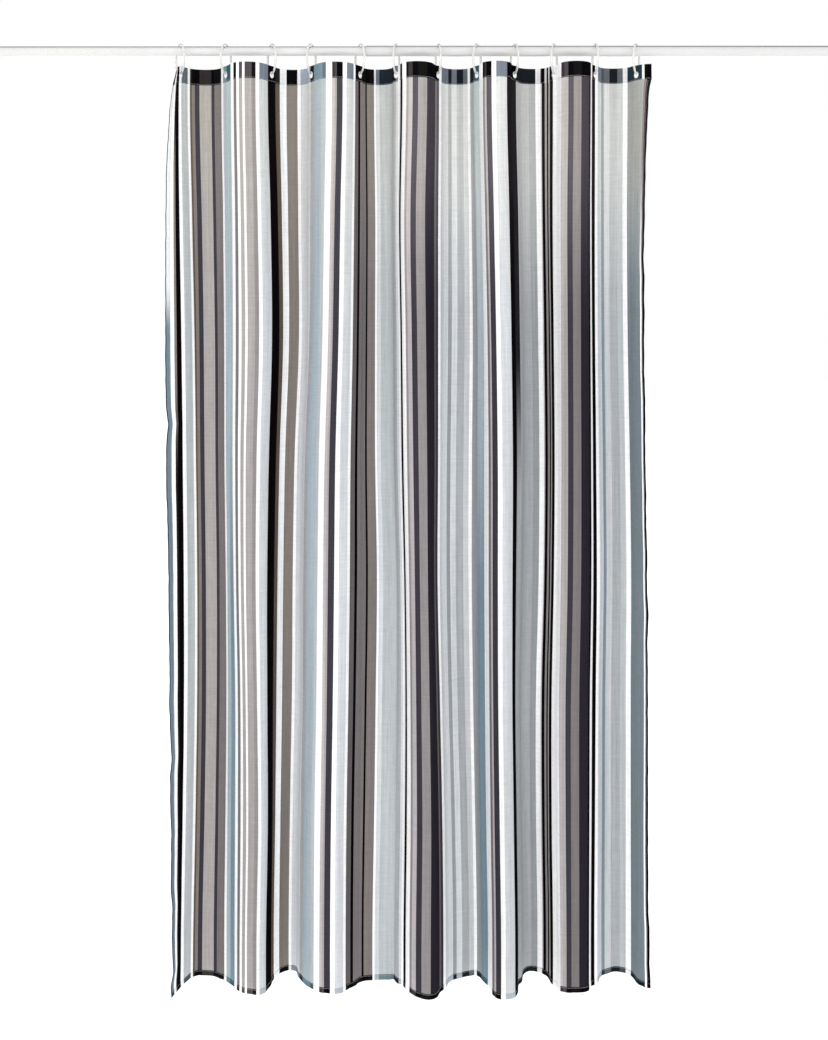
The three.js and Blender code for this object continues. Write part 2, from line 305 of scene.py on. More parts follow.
TONE_SCALE = 0.965
stripe_codes, stripe_ends = [], []
end = 0.0
for word in STRIPES.split():
    end += float(word[1:])
    stripe_codes.append(word[0])
    stripe_ends.append(end)
stripe_ends = np.array(stripe_ends) * WIDTH / end
stripe_starts = np.concatenate([[0], stripe_ends[:-1]])
tone_table = np.array([linear(TONES[c]) for c in stripe_codes]) * TONE_SCALE
# the hems' tones, painted darker as the shade of the doubled cloth
shaded_hem_table = np.array([linear(TONES[c]) ** np.array(HEM_SHADE_POWER[c]) for c in stripe_codes]) * TONE_SCALE
low_shaded_hem_table = np.array([linear(TONES[c]) ** np.array(LOW_HEM_SHADE_POWER[c]) for c in stripe_codes]) * TONE_SCALE
code_array = np.array(stripe_codes)


def tone_at(u, v, hem=False):
    """Linear colours of the cloth at u across and v down."""
    i = np.clip(np.searchsorted(stripe_ends, u, side="right"), 0, len(stripe_codes) - 1)
    c = tone_table[i].copy()
    # in the hems the tones are painted darker: painted shade of the doubled cloth
    if hem:
        c = np.where((v > DROP / 2)[..., None], low_shaded_hem_table[i], shaded_hem_table[i])
    if not hem:
        pale = linear((232, 237, 241)) * TONE_SCALE
        black = linear((30, 27, 30)) * TONE_SCALE
        edge = code_array[i] == "Q"
        t = smooth((v - 470) / 110)[..., None]
        c = np.where(edge[..., None], pale * (1 - t) + c * t, c)
        brown = code_array[i] == "q"
        t = (smooth((v - 640) / 260) + 1 - smooth((v - 120) / 120))[..., None]
        c = np.where(brown[..., None], black * t + c * (1 - t), c)
        # the blues deepen down the cloth. Every tone is painted paler near the rings, most of all towards the right:
        # painted light from above
        blue = code_array[i] == "F"
        t = smooth((v - 650) / 560)[..., None]
        c = np.where(blue[..., None], linear((181, 194, 201)) * TONE_SCALE * (1 - t) + linear((128, 150, 163)) * TONE_SCALE * t, c)
        painted_top_light = (0.08 + 0.22 * smooth((u - 420) / 620)) * (1 - smooth((v - 180) / 420))
        c = c ** (1 - painted_top_light[..., None])
        high = 1 - smooth((v - 150) / 350)
        for code, tone in (("s", (166, 168, 167)), ("z", (172, 172, 171)), ("y", (142, 126, 131))):
            t = (high * (code_array[i] == code))[..., None]
            c = c * (1 - t) + linear(tone) * TONE_SCALE * t
        t = ((1 - smooth((v - 620) / 330)) * (code_array[i] == "x"))[..., None]
        c = c * (1 - t) + linear((38, 35, 40)) * TONE_SCALE * t
        # and painted a little warmer there: painted warm light
        painted_warm_light = (1 - smooth((v - 100) / 500)) * (code_array[i] != "W")
        c = c * (1 + painted_warm_light[..., None] * np.array([0.02, 0.005, -0.04]))
    return c


# ------------------------------------------------------------------ mesh helpers
def new_object(name, verts, faces, smooth_faces=True):
    mesh = bpy.data.meshes.new(name)
    mesh.from_pydata([tuple(p) for p in (np.asarray(verts) * MM).tolist()], [], faces)
    mesh.validate(clean_customdata=False)
    mesh.update()
    if smooth_faces:
        mesh.polygons.foreach_set("use_smooth", [True] * len(mesh.polygons))
    obj = bpy.data.objects.new(name, mesh)
    scene.collection.objects.link(obj)
    return obj


def sharpen(obj, degrees=40):
    """Edges sharper than this keep a crisp shading line."""
    mesh = obj.data
    limit = math.radians(degrees)
    import bmesh
    bm = bmesh.new()
    bm.from_mesh(mesh)
    for e in bm.edges:
        e.smooth = not (len(e.link_faces) == 2 and e.calc_face_angle(0) > limit)
    bm.to_mesh(mesh)
    bm.free()


def grid_lines(lo, hi, step, must=(), fine=()):
    """Positions from lo to hi, no further than step apart, through each of must; fine is (from, to, step)."""
    points = {round(lo, 4), round(hi, 4)}
    points |= {round(float(m), 4) for m in must if lo < m < hi}
    for a, b, s in fine:
        a, b = max(a, lo), min(b, hi)
        if b > a:
            points |= {round(float(x), 4) for x in np.linspace(a, b, max(2, int(round((b - a) / s)) + 1))}
    line = sorted(points)
    kept = [line[0]]
    for x in line[1:]:
        if x - kept[-1] > 0.45 or x in (round(hi, 4),):
            kept.append(x)
    out = []
    for a, b in zip(kept[:-1], kept[1:]):
        n = max(1, int(math.ceil((b - a) / step - 1e-6)))
        out += [a + (b - a) * i / n for i in range(n)]
    out.append(kept[-1])
    return np.array(out)


def cloth_shell(name, us, vs, thick, holes=(), round_edges="", hem=False, proud=0.0):
    """A closed thin piece of the cloth between the lines us and vs, or one layer if thick is 0. holes are (u, v, radius)."""
    nu, nv = len(us), len(vs)
    U, V = np.meshgrid(us, vs, indexing="ij")
    U, V = U.copy(), V.copy()
    keep = np.ones((nu - 1, nv - 1), bool)
    for hu, hv, r in holes:
        d = np.hypot(U - hu, V - hv)
        inside = d < r - 0.9
        touched = inside[:-1, :-1] | inside[1:, :-1] | inside[:-1, 1:] | inside[1:, 1:]
        keep &= ~touched
        ring = np.zeros_like(inside)
        ring[:-1, :-1] |= touched
        ring[1:, :-1] |= touched
        ring[:-1, 1:] |= touched
        ring[1:, 1:] |= touched
        ring &= ~inside
        s = np.where(ring & (d > 1e-6), r / np.maximum(d, 1e-6), 1.0)
        U = np.where(ring, hu + (U - hu) * s, U)
        V = np.where(ring, hv + (V - hv) * s, V)
    P, N = surface_and_normal(U, V)
    half = np.full(U.shape, thick / 2)
    for side, dist in (("t", V - vs[0]), ("b", vs[-1] - V), ("l", U - us[0]), ("r", us[-1] - U)):
        if side in round_edges:
            d = np.clip(1 - dist / max(thick / 2, 1e-6), 0, 1)
            half = np.minimum(half, thick / 2 * np.maximum(np.sqrt(1 - d**2), 0.22))
    front = P + N * (half + proud)[..., None]
    back = P - N * (half - proud)[..., None]
    index = np.arange(nu * nv).reshape(nu, nv)
    a, b, c, d = index[:-1, :-1], index[:-1, 1:], index[1:, 1:], index[1:, :-1]
    quads = np.stack([a[keep], b[keep], c[keep], d[keep]], -1)
    mid_u = ((us[:-1] + us[1:]) / 2)[:, None] + 0 * (vs[:-1])[None, :]
    mid_v = ((vs[:-1] + vs[1:]) / 2)[None, :] + 0 * (us[:-1])[:, None]
    top_v = vs[:-1][None, :] + 0 * mid_u
    low_v = vs[1:][None, :] + 0 * mid_u
    col_top = tone_at(mid_u[keep], top_v[keep], hem)
    col_low = tone_at(mid_u[keep], low_v[keep], hem)
    quad_cols = np.stack([col_top, col_low, col_low, col_top], 1)
    total = nu * nv
    back_quads = quads[:, ::-1] + total
    back_cols = quad_cols[:, ::-1]
    if thick == 0:
        back_quads, back_cols = quads[:0], quad_cols[:0]
    # the rim
    edges = {}
    for q_i, q in enumerate(quads.tolist() if thick else []):
        for j in range(4):
            e = (q[j], q[(j + 1) % 4])
            edges[e] = (q_i, j)
    rim, rim_cols = [], []
    for (e0, e1), (q_i, j) in edges.items():
        if (e1, e0) not in edges:
            rim.append([e1, e0, e0 + total, e1 + total])
            c0, c1 = quad_cols[q_i, j], quad_cols[q_i, (j + 1) % 4]
            rim_cols.append([c1, c0, c0, c1])
    faces = np.concatenate([quads, back_quads, np.array(rim, int).reshape(-1, 4)], 0)
    cols = np.concatenate([quad_cols, back_cols, np.array(rim_cols, float).reshape(-1, 4, 3)], 0)
    used = np.unique(faces)
    remap = np.zeros(total * 2, int)
    remap[used] = np.arange(len(used))
    verts = np.concatenate([front.reshape(-1, 3), back.reshape(-1, 3)], 0)[used]
    uv_u = np.concatenate([U.reshape(-1), U.reshape(-1)])
    uv_v = np.concatenate([V.reshape(-1), V.reshape(-1)])
    side = np.concatenate([np.zeros(total), np.ones(total)])
    obj = new_object(name, verts, remap[faces].tolist())
    mesh = obj.data
    loops = faces.reshape(-1)
    n_front = quads.size
    n_back = back_quads.size
    uvm = np.stack([uv_u[loops] * MM, (DROP - uv_v[loops]) * MM], -1)
    layer = mesh.uv_layers.new(name="cloth")
    layer.data.foreach_set("uv", uvm.reshape(-1).astype(np.float32))
    # front in the left half of the square, back in the right half; the rim takes the front's edge
    s = (uv_u[loops] - us[0]) / (us[-1] - us[0])
    t = 1 - (uv_v[loops] - vs[0]) / (vs[-1] - vs[0])
    on_back = np.zeros(len(loops))
    on_back[n_front:n_front + n_back] = 1
    share = 0.488 if thick else 0.992
    bake = np.stack([0.004 + share * s + 0.504 * on_back, 0.004 + 0.992 * t], -1)
    layer = mesh.uv_layers.new(name="OFBake")
    layer.data.foreach_set("uv", bake.reshape(-1).astype(np.float32))
    mesh.uv_layers.active = mesh.uv_layers["cloth"]
    mesh.uv_layers["cloth"].active_render = True
    attribute = mesh.color_attributes.new(name="stripe", type="FLOAT_COLOR", domain="CORNER")
    rgba = np.ones((len(loops), 4), np.float32)
    rgba[:, :3] = cols.reshape(-1, 3)
    attribute.data.foreach_set("color", rgba.reshape(-1))
    return obj


# ------------------------------------------------------------------ the cloth and its hems
ring_u = [MARGIN + PITCH * k for k in range(12)]
hole_v = TOP_Z - EYELET_Z

cloth_us = grid_lines(8.6, WIDTH - 8.6, 5.4, must=stripe_ends)
cloth_vs = grid_lines(30.4, DROP - 10.6, 16.5, must=(34, 38, 44, 52, DROP - 14, DROP - 19, DROP - 27))
cloth = cloth_shell("curtain_cloth", cloth_us, cloth_vs, 0)

band_us = grid_lines(0, WIDTH, 4.6, must=list(stripe_ends) + [0.2, 0.5, WIDTH - 0.2, WIDTH - 0.5],
                     fine=[(u - 8.5, u + 8.5, 1.7) for u in ring_u])
band_vs = grid_lines(0, TOP_HEM, 3.4, must=(0.12, 0.35, 0.7, TOP_HEM - 0.12, TOP_HEM - 0.4),
                     fine=[(hole_v - 8.5, hole_v + 8.5, 1.7)])
top_band = cloth_shell("top_hem_band", band_us, band_vs, 1.1,
                       holes=[(u, hole_v, 6.3) for u in ring_u], round_edges="tblr", hem=True)

bottom_us = grid_lines(0, WIDTH, 4.6, must=list(stripe_ends) + [0.2, 0.5, WIDTH - 0.2, WIDTH - 0.5])
bottom_vs = grid_lines(DROP - BOTTOM_HEM, DROP, 2.2,
                       must=(DROP - BOTTOM_HEM + 0.12, DROP - BOTTOM_HEM + 0.4, DROP - 0.12, DROP - 0.35, DROP - 0.8))
bottom_band = cloth_shell("bottom_hem_band", bottom_us, bottom_vs, 1.1, round_edges="tblr", hem=True)

side_vs = grid_lines(TOP_HEM - 1.4, DROP - BOTTOM_HEM + 1.4, 8.0)
left_band = cloth_shell("side_hem_left_band", grid_lines(0, SIDE_HEM, 1.8, must=(0.12, 0.4, SIDE_HEM - 0.3)),
                        side_vs, 0.86, round_edges="lr")
right_us = grid_lines(WIDTH - SIDE_HEM, WIDTH, 1.8, must=(WIDTH - 0.12, WIDTH - 0.4, WIDTH - SIDE_HEM + 0.3))
right_band = cloth_shell("side_hem_right_band", right_us, side_vs, 0.86, round_edges="lr")


def stitching(name, line, proud_front, proud_back, pitch=3.9, length=2.9, width=0.62, height=0.36):
    """A run of sewn stitches on both faces of the cloth. line is a list of (u, v) points of a straight run."""
    (u0, v0), (u1, v1) = line
    run = math.hypot(u1 - u0, v1 - v0)
    count = int(run // pitch)
    start = (run - count * pitch) / 2
    verts, faces = [], []
    dirs = np.array([(u1 - u0) / run, (v1 - v0) / run])
    ts = np.array([-0.5, -0.34, 0.0, 0.34, 0.5])
    lift = np.array([-0.35, 0.55, 1.0, 0.55, -0.35])
    wide = np.array([0.35, 0.85, 1.0, 0.85, 0.35])
    centre = start + pitch * (np.arange(count) + 0.5)
    jitter = rng.uniform(-0.10, 0.10, count)
    s = centre[:, None] + ts[None, :] * length
    across = np.array([-dirs[1], dirs[0]])
    for face, proud in ((1, proud_front), (-1, proud_back)):
        offset_s = 0 if face > 0 else pitch * 0.5
        uu = u0 + dirs[0] * (s + offset_s) + across[0] * jitter[:, None]
        vv = v0 + dirs[1] * (s + offset_s) + across[1] * jitter[:, None]
        good = (uu.max(1) < WIDTH - 0.3) & (vv.max(1) < DROP - 0.3)
        uu, vv = uu[good], vv[good]
        P, N = surface_and_normal(uu, vv)
        Pn, _ = surface_and_normal(uu + across[0] * 0.5, vv + across[1] * 0.5)
        side = Pn - P
        side = side - (side * N).sum(-1, keepdims=True) * N
        side /= np.linalg.norm(side, axis=-1, keepdims=True)
        N = N * face
        profile = [(-0.5, 0.0), (-0.32, 0.75), (0.0, 1.0), (0.32, 0.75), (0.5, 0.0), (0.0, -0.45)]
        for i in range(len(uu)):
            base = len(verts)
            for j in range(5):
                for a, h in profile:
                    verts.append(P[i, j] + side[i, j] * (a * width * wide[j])
                                 + N[i, j] * (proud - 0.05 + height * (h * wide[j] + lift[j] * 0.35)))
            m = len(profile)
            for j in range(4):
                for k in range(m):
                    q = [base + j * m + k, base + j * m + (k + 1) % m,
                         base + (j + 1) * m + (k + 1) % m, base + (j + 1) * m + k]
                    faces.append(q if face > 0 else q[::-1])
            c0 = [base + k for k in range(m)][::-1]
            c1 = [base + 4 * m + k for k in range(m)]
            faces.append(c0 if face > 0 else c0[::-1])
            faces.append(c1 if face > 0 else c1[::-1])
    obj = new_object(name, np.array(verts), faces)
    import bmesh
    bm = bmesh.new()
    bm.from_mesh(obj.data)
    bmesh.ops.recalc_face_normals(bm, faces=bm.faces)
    bm.to_mesh(obj.data)
    bm.free()
    return obj


top_thread = stitching("top_hem_stitching", [(2.0, TOP_HEM - 2.2), (WIDTH - 2.0, TOP_HEM - 2.2)], 0.55, 0.55)
bottom_thread = stitching("bottom_hem_stitching", [(2.0, DROP - BOTTOM_HEM + 1.9), (WIDTH - 2.0, DROP - BOTTOM_HEM + 1.9)],
                          0.55, 0.55)
left_thread = stitching("side_hem_left_stitching", [(SIDE_HEM - 1.8, TOP_HEM + 3), (SIDE_HEM - 1.8, DROP - BOTTOM_HEM - 3)],
                        0.43, 0.43)
right_thread = stitching("side_hem_right_stitching",
                         [(WIDTH - SIDE_HEM + 1.8, TOP_HEM + 3), (WIDTH - SIDE_HEM + 1.8, DROP - BOTTOM_HEM - 3)],
                         0.43, 0.43)


# ------------------------------------------------------------------ turned parts: rail, feet, eyelets
def lathe(name, profile, segments, axis="x", closed=True):
    """A body turned about local x or y. profile is (along, radius) points, in order, as a closed loop or from axis to axis."""
    verts, faces = [], []
    rows = []
    for along_, r in profile:
        if r < 1e-6:
            rows.append([len(verts)])
            verts.append((along_, 0.0, 0.0))
        else:
            rows.append(list(range(len(verts), len(verts) + segments)))
            for i in range(segments):
                a = 2 * math.pi * i / segments
                verts.append((along_, r * math.cos(a), r * math.sin(a)))
    pairs = list(zip(rows[:-1], rows[1:])) + ([(rows[-1], rows[0])] if closed else [])
    for a, b in pairs:
        for i in range(segments):
            j = (i + 1) % segments
            if len(a) == 1 and len(b) == 1:
                continue
            if len(a) == 1:
                faces.append([a[0], b[i], b[j]])
            elif len(b) == 1:
                faces.append([a[i], b[0], a[j]])
            else:
                faces.append([a[i], b[i], b[j], a[j]])
    verts = np.array(verts)
    if axis == "y":
        verts = verts[:, [2, 0, 1]]
    obj = new_object(name, verts, faces)
    import bmesh
    bm = bmesh.new()
    bm.from_mesh(obj.data)
    bmesh.ops.recalc_face_normals(bm, faces=bm.faces)
    bm.to_mesh(obj.data)
    bm.free()
    sharpen(obj, 38)
    return obj


def arc(cx, cr, radius, a0, a1, n):
    """Points of a round edge in (along, radius) space, angles in degrees."""
    return [(cx + radius * math.cos(math.radians(a)), cr + radius * math.sin(math.radians(a)))
            for a in np.linspace(a0, a1, n)]


OUTER_R, INNER_R, WALL = 11.5, 10.0, 1.2
outer = lathe("rail_outer", (
    [(940.0, OUTER_R - 0.15), (939.85, OUTER_R)]
    + [(x, OUTER_R) for x in np.linspace(900, -60, 33)]
    + [(-93.0, OUTER_R)] + arc(-97.1, OUTER_R - 0.9, 0.9, 80, 180, 6)
    + arc(-97.7, OUTER_R - WALL + 0.3, 0.3, 180, 270, 4)
    + [(x, OUTER_R - WALL) for x in np.linspace(-90, 930, 6)]
    + [(940.0, OUTER_R - WALL)]
), 72)
inner = lathe("rail_inner", (
    [(350.0, INNER_R - 0.5), (349.5, INNER_R)]
    + [(x, INNER_R) for x in np.linspace(340, -930, 40)]
    + [(-939.85, INNER_R), (-940.0, INNER_R - 0.15), (-940.0, INNER_R - WALL)]
    + [(x, INNER_R - WALL) for x in np.linspace(-930, 340, 6)]
    + [(350.0, INNER_R - WALL)]
), 72)


def foot(name, side, tube_r):
    """An end foot: a soft cup that grips the tube and a ribbed pad that stands on the wall. Local x runs outwards."""
    inner_r = tube_r + 0.3
    body = (
        arc(-21.4, inner_r + 0.5, 0.5, 270, 180, 4)
        + arc(-20.9, tube_r + 1.7, 0.9, 180, 90, 5)
        + [(-18.0, tube_r + 2.7), (-15.5, tube_r + 2.75), (-15.0, tube_r + 2.35), (-14.4, tube_r + 2.35), (-13.9, tube_r + 2.8)]
        + [(-10.0, tube_r + 3.0), (-6.5, tube_r + 3.3), (-4.0, min(15.4, tube_r + 3.8)), (-2.0, min(15.7, tube_r + 4.3))]
        + [(-0.6, 15.55), (0.4, 15.9), (1.4, 16.0), (4.4, 16.0)]
        + [(4.7, 15.6), (5.2, 15.6), (5.5, 16.0)]
        + [(8.6, 16.0)] + arc(9.3, 15.3, 0.7, 70, 0, 5)
        + [(10.0, 13.0), (9.5, 12.6), (9.5, 12.0), (10.0, 11.6), (10.0, 9.0), (9.5, 8.6), (9.5, 8.0), (10.0, 7.6),
           (10.0, 4.0), (10.0, 0.0), (0.3, 0.0), (0.3, inner_r - 0.3), (0.0, inner_r)]
    )
    obj = lathe(name, body, 64, closed=False)
    # the loop closes from the cup's floor back to its mouth
    import bmesh
    bm = bmesh.new()
    bm.from_mesh(obj.data)
    rims = [e for e in bm.edges if len(e.link_faces) == 1]
    bmesh.ops.bridge_loops(bm, edges=rims)
    bmesh.ops.recalc_face_normals(bm, faces=bm.faces)
    bm.to_mesh(obj.data)
    bm.free()
    obj.data.transform(Matrix.Translation((0.940, 0, 0)))
    if side < 0:
        obj.data.transform(Matrix.Rotation(math.pi, 4, "Z"))
    obj.data.polygons.foreach_set("use_smooth", [True] * len(obj.data.polygons))
    sharpen(obj, 38)
    return obj


foot_l = foot("rail_foot_left_cup", -1, INNER_R)
foot_r = foot("rail_foot_right_cup", 1, OUTER_R)


# ------------------------------------------------------------------ rings
def ring_wire(k):
    """An oval snap ring: a round wire with a barrel where it opens, and a small knob that snaps into it."""
    slit = math.radians(215)
    n, m = 132, 20
    a = np.linspace(slit + 0.016, slit + 2 * math.pi - 0.016, n)
    py = -RING_HALF_WIDTH * np.cos(a)
    pz = RING_HALF_HEIGHT * np.sin(a)
    ty = RING_HALF_WIDTH * np.sin(a)
    tz = RING_HALF_HEIGHT * np.cos(a)
    tl = np.hypot(ty, tz)
    ty, tz = ty / tl, tz / tl
    ny, nz = -tz, ty
    ds = np.concatenate([[0], np.cumsum(np.hypot(np.diff(py), np.diff(pz)))])
    total = ds[-1]
    r = np.full(n, RING_WIRE)
    # a barrel over the last part before the opening, and a collar after it
    def swell(at, width, amount):
        t = np.clip(1 - np.abs(ds - at) / width, 0, 1)
        return amount * smooth(t * 2.2)
    r = r + swell(total - 4.5, 5.5, 0.75) + swell(3.0, 3.2, 0.55)
    ends = np.minimum(ds, total - ds)
    r = r * np.sqrt(np.clip(1 - np.clip(1 - ends / 1.1, 0, 1) ** 2, 0.06, 1))
    verts, faces = [], []
    for i in range(n):
        for j in range(m):
            b = 2 * math.pi * j / m
            # the wire is a little flatter on its inner side
            flat = 1 - 0.07 * max(0.0, math.cos(b))
            verts.append((
                r[i] * math.sin(b),
                py[i] + ny[i] * r[i] * flat * math.cos(b),
                pz[i] + nz[i] * r[i] * flat * math.cos(b),
            ))
    for i in range(n - 1):
        for j in range(m):
            faces.append([i * m + j, i * m + (j + 1) % m, (i + 1) * m + (j + 1) % m, (i + 1) * m + j])
    faces.append([j for j in range(m)])
    faces.append([(n - 1) * m + j for j in range(m)])
    obj = new_object(f"snap_ring_{k + 1}", np.array(verts), faces)
    import bmesh
    bm = bmesh.new()
    bm.from_mesh(obj.data)
    bmesh.ops.recalc_face_normals(bm, faces=bm.faces)
    bm.to_mesh(obj.data)
    bm.free()
    place = Matrix.Translation((RING_X[k] * MM, 0, RING_CENTRE_Z * MM)) @ Matrix.Rotation(math.radians(RING_YAW[k]), 4, "Z")
    obj.data.transform(place)
    return obj


def eyelet(k):
    """A two-part eyelet: a rolled flange on each face of the hem and a sleeve through it."""
    t, ri, ro = EYELET_THICK / 2, EYELET_INNER, EYELET_OUTER
    profile = (
        [(0.0, ri), (0.55, ri + 0.03)]
        + arc(t - 0.55, ri + 0.62, 0.6, -60, -90 + 130, 1)
        + [(t - 0.28, ri + 0.16), (t - 0.06, ri + 0.48), (t, ri + 0.95), (t - 0.08, ri + 1.45), (t - 0.26, ri + 1.85),
           (t - 0.5, ro - 0.12), (t - 0.62, ro)]
        + [(0.5, ro - 0.02), (0.47, ro - 0.25), (0.47, ri + 1.25), (-0.47, ri + 1.25), (-0.47, ro - 0.25), (-0.5, ro - 0.02)]
        + [(-t + 0.62, ro), (-t + 0.5, ro - 0.12), (-t + 0.26, ri + 1.85), (-t + 0.08, ri + 1.45), (-t, ri + 0.95),
           (-t + 0.06, ri + 0.48), (-t + 0.28, ri + 0.16)]
        + [(-0.55, ri + 0.03)]
    )
    profile = [p for i, p in enumerate(profile) if i != 2]
    obj = lathe(f"hem_eyelet_{k + 1}", profile, 40, axis="y")
    turn = TANGENT[k] if k % 2 == 0 else -TANGENT[k]
    place = Matrix.Translation((RING_X[k] * MM, 0, EYELET_Z * MM)) @ Matrix.Rotation(float(turn), 4, "Z")
    obj.data.transform(place)
    return obj


rings = [ring_wire(k) for k in range(12)]
eyelets = [eyelet(k) for k in range(12)]


# ------------------------------------------------------------------ materials
def material(name):
    m = bpy.data.materials.new(name)
    m.use_nodes = True
    nt = m.node_tree
    nt.nodes.clear()
    out = nt.nodes.new("ShaderNodeOutputMaterial")
    p = nt.nodes.new("ShaderNodeBsdfPrincipled")
    nt.links.new(p.outputs["BSDF"], out.inputs["Surface"])
    return m, nt, p


def node(nt, kind, **values):
    n = nt.nodes.new(kind)
    for key, value in values.items():
        if key in n.inputs:
            n.inputs[key].default_value = value
        else:
            setattr(n, key, value)
    return n


def mathn(nt, op, a, b=None, clamp=False):
    n = nt.nodes.new("ShaderNodeMath")
    n.operation = op
    n.use_clamp = clamp
    for i, v in enumerate((a, b)):
        if v is None:
            continue
        if isinstance(v, (int, float)):
            n.inputs[i].default_value = v
        else:
            nt.links.new(v, n.inputs[i])
    return n.outputs[0]


def mix_colour(nt, kind, factor, a, b):
    n = nt.nodes.new("ShaderNodeMix")
    n.data_type = "RGBA"
    n.blend_type = kind
    n.clamp_factor = True
    if isinstance(factor, (int, float)):
        n.inputs[0].default_value = factor
    else:
        nt.links.new(factor, n.inputs[0])
    for i, v in ((6, a), (7, b)):
        if isinstance(v, tuple):
            n.inputs[i].default_value = v
        else:
            nt.links.new(v, n.inputs[i])
    return n.outputs[2]


def noise(nt, vector, scale, detail=2.0, rough=0.5):
    n = node(nt, "ShaderNodeTexNoise", Scale=scale, Detail=detail, Roughness=rough)
    nt.links.new(vector, n.inputs["Vector"])
    return n.outputs["Fac"]


def stretched(nt, vector, sx, sy, sz=1.0):
    n = node(nt, "ShaderNodeMapping")
    n.inputs["Scale"].default_value = (sx, sy, sz)
    nt.links.new(vector, n.inputs["Vector"])
    return n.outputs[0]


def remap(nt, value, lo, hi, out_lo, out_hi):
    n = node(nt, "ShaderNodeMapRange")
    n.inputs[1].default_value = lo
    n.inputs[2].default_value = hi
    n.inputs[3].default_value = out_lo
    n.inputs[4].default_value = out_hi
    nt.links.new(value, n.inputs[0])
    return n.outputs[0]


def cloth_material(name, thread_pitch=0.62, relief=0.00012, through=0.0):
    m, nt, p = material(name)
    uv = node(nt, "ShaderNodeUVMap", uv_map="cloth").outputs[0]
    stripe = node(nt, "ShaderNodeVertexColor", layer_name="stripe").outputs["Color"]
    sep = nt.nodes.new("ShaderNodeSeparateXYZ")
    nt.links.new(uv, sep.inputs[0])
    k = 2 * math.pi / (thread_pitch * 0.001)
    sx = mathn(nt, "SINE", mathn(nt, "MULTIPLY", sep.outputs["X"], k))
    sy = mathn(nt, "SINE", mathn(nt, "MULTIPLY", sep.outputs["Y"], k))
    weave = mathn(nt, "MULTIPLY_ADD", mathn(nt, "MULTIPLY", sx, sy), 0.5)
    weave.node.inputs[2].default_value = 0.5
    warp = noise(nt, stretched(nt, uv, 620, 9), 1.0, 2.0)      # uneven yarns that run down the cloth
    weft = noise(nt, stretched(nt, uv, 9, 620), 1.0, 2.0)      # and across it
    streak = noise(nt, stretched(nt, uv, 150, 1.6), 1.0, 3.0)
    broad = noise(nt, stretched(nt, uv, 7, 2.2), 1.0, 2.0)
    yarn = mathn(nt, "ADD", mathn(nt, "MULTIPLY", warp, 0.6), mathn(nt, "MULTIPLY", weft, 0.4))
    slub = mathn(nt, "ADD", mathn(nt, "MULTIPLY", noise(nt, stretched(nt, uv, 230, 22), 1.0, 2.0), 0.55),
                 mathn(nt, "MULTIPLY", noise(nt, stretched(nt, uv, 30, 230), 1.0, 2.0), 0.45))
    # the tone follows the weave's height: painted shade between the threads and a painted highlight on their crossings
    tone_v = mathn(nt, "ADD", remap(nt, yarn, 0.3, 0.7, 0.885, 1.065), remap(nt, weave, 0, 1, -0.06, 0.04))
    tone_v = mathn(nt, "MULTIPLY", tone_v, remap(nt, streak, 0.25, 0.75, 0.88, 1.07))
    tone_v = mathn(nt, "MULTIPLY", tone_v, remap(nt, slub, 0.36, 0.64, 0.93, 1.06))
    tone_v = mathn(nt, "MULTIPLY", tone_v, remap(nt, broad, 0.25, 0.75, 0.975, 1.02))
    grey = nt.nodes.new("ShaderNodeCombineColor")
    for i in range(3):
        nt.links.new(tone_v, grey.inputs[i])
    colour = mix_colour(nt, "MULTIPLY", 1.0, stripe, grey.outputs[0])
    nt.links.new(colour, p.inputs["Base Color"])
    nt.links.new(remap(nt, yarn, 0.3, 0.7, 0.9, 0.76), p.inputs["Roughness"])
    height = mathn(nt, "ADD", mathn(nt, "MULTIPLY", weave, 0.7), mathn(nt, "MULTIPLY", yarn, 0.6))
    bump = node(nt, "ShaderNodeBump", Strength=0.55, Distance=relief)
    nt.links.new(height, bump.inputs["Height"])
    nt.links.new(bump.outputs[0], p.inputs["Normal"])
    p.inputs["Sheen Weight"].default_value = 0.0
    p.inputs["Sheen Roughness"].default_value = 0.5
    p.inputs["Specular IOR Level"].default_value = 0.015
    if through:
        glow = nt.nodes.new("ShaderNodeBsdfTranslucent")
        nt.links.new(colour, glow.inputs["Color"])
        nt.links.new(bump.outputs[0], glow.inputs["Normal"])
        both = nt.nodes.new("ShaderNodeMixShader")
        both.inputs[0].default_value = through
        nt.links.new(p.outputs[0], both.inputs[1])
        nt.links.new(glow.outputs[0], both.inputs[2])
        out = next(n for n in nt.nodes if n.type == "OUTPUT_MATERIAL")
        nt.links.new(both.outputs[0], out.inputs["Surface"])
    return m


cloth_mat = cloth_material("striped_woven_cloth", through=0.45)
side_mat = cloth_material("striped_side_hem_cloth", relief=0.00014)
hem_mat = cloth_material("striped_hem_cloth", relief=0.00016)


def thread_material():
    m, nt, p = material("sewing_thread")
    pos = node(nt, "ShaderNodeTexCoord").outputs["Object"]
    fine = noise(nt, pos, 2600.0, 3.0)
    ply = node(nt, "ShaderNodeTexWave", Scale=900.0, Distortion=1.5)
    ply.wave_type = "BANDS"
    ply.bands_direction = "DIAGONAL"
    nt.links.new(pos, ply.inputs["Vector"])
    shade = mathn(nt, "ADD", mathn(nt, "MULTIPLY", fine, 0.3), mathn(nt, "MULTIPLY", ply.outputs["Fac"], 0.25))
    ramp = node(nt, "ShaderNodeValToRGB")
    ramp.color_ramp.elements[0].color = (0.30, 0.31, 0.32, 1)
    ramp.color_ramp.elements[0].position = 0.1
    ramp.color_ramp.elements[1].color = (0.62, 0.63, 0.65, 1)
    ramp.color_ramp.elements[1].position = 0.45
    nt.links.new(shade, ramp.inputs[0])
    nt.links.new(ramp.outputs[0], p.inputs["Base Color"])
    nt.links.new(remap(nt, fine, 0.2, 0.8, 0.55, 0.75), p.inputs["Roughness"])
    bump = node(nt, "ShaderNodeBump", Strength=0.6, Distance=0.00008)
    nt.links.new(shade, bump.inputs["Height"])
    nt.links.new(bump.outputs[0], p.inputs["Normal"])
    return m


